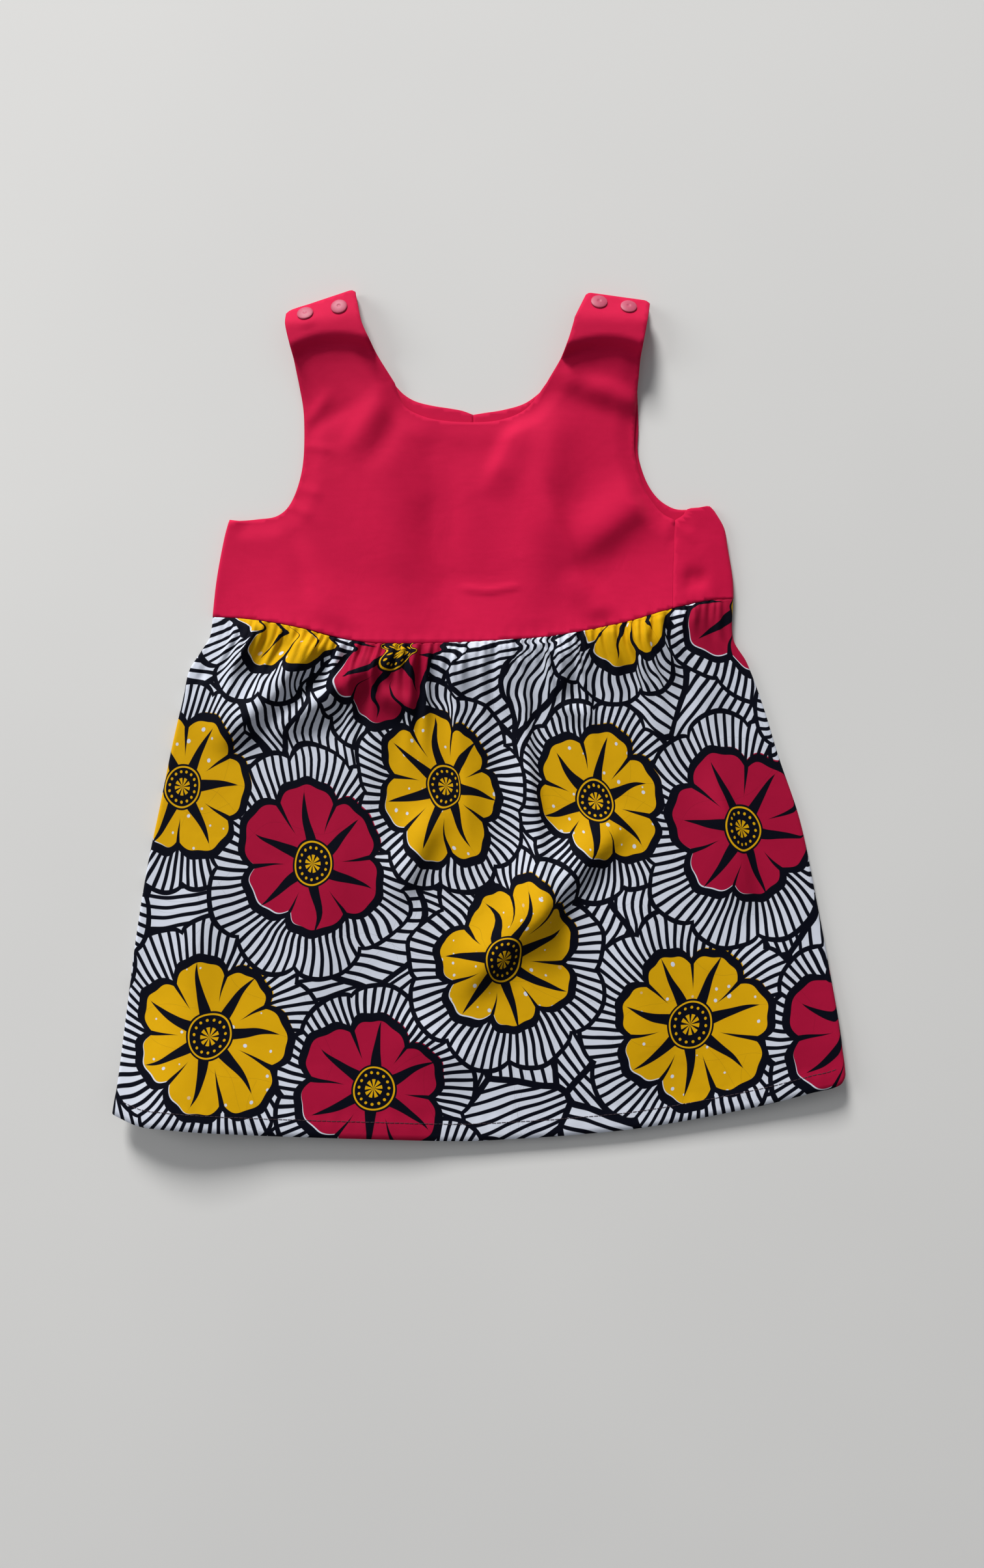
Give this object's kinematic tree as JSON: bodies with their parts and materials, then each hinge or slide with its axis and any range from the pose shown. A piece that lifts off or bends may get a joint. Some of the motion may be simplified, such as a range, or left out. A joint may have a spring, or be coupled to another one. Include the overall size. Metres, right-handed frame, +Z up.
{
  "type": "child's sleeveless pinafore dress with a wax print skirt, laid flat",
  "caption": "Child's sleeveless dress laid flat, front up: plain bodice with snapped shoulder straps over a gathered print skirt with a stitched hem.",
  "frame": {"origin": "on the surface that the dress lies on, under the middle of the whole laid out dress", "axes": "+X to the right of the dress seen from above with its neck at the top, +Y towards the neck, +Z up from the surface"},
  "size_m": [0.4844, 0.5612, 0.0177],
  "materials": {
    "crimson_cotton": "plain woven crimson cotton, self-lined",
    "wax_print_cotton": "smooth cotton with a wax print of gold and crimson blossoms on white with navy lines",
    "snap_plastic": "half clear pink moulded plastic"
  },
  "bodies": {
    "root": {"bodice_front": "crimson_cotton", "bodice_back_left": "crimson_cotton", "bodice_back_right": "crimson_cotton", "skirt_front": "wax_print_cotton", "skirt_back": "wax_print_cotton", "snap_left_1_cap": "snap_plastic", "snap_left_1_socket": "snap_plastic", "snap_left_1_stud": "snap_plastic", "snap_left_1_back_cap": "snap_plastic", "snap_left_2_cap": "snap_plastic", "snap_left_2_socket": "snap_plastic", "snap_left_2_stud": "snap_plastic", "snap_left_2_back_cap": "snap_plastic", "snap_right_1_cap": "snap_plastic", "snap_right_1_socket": "snap_plastic", "snap_right_1_stud": "snap_plastic", "snap_right_1_back_cap": "snap_plastic", "snap_right_2_cap": "snap_plastic", "snap_right_2_socket": "snap_plastic", "snap_right_2_stud": "snap_plastic", "snap_right_2_back_cap": "snap_plastic"}
  },
  "joints": []
}
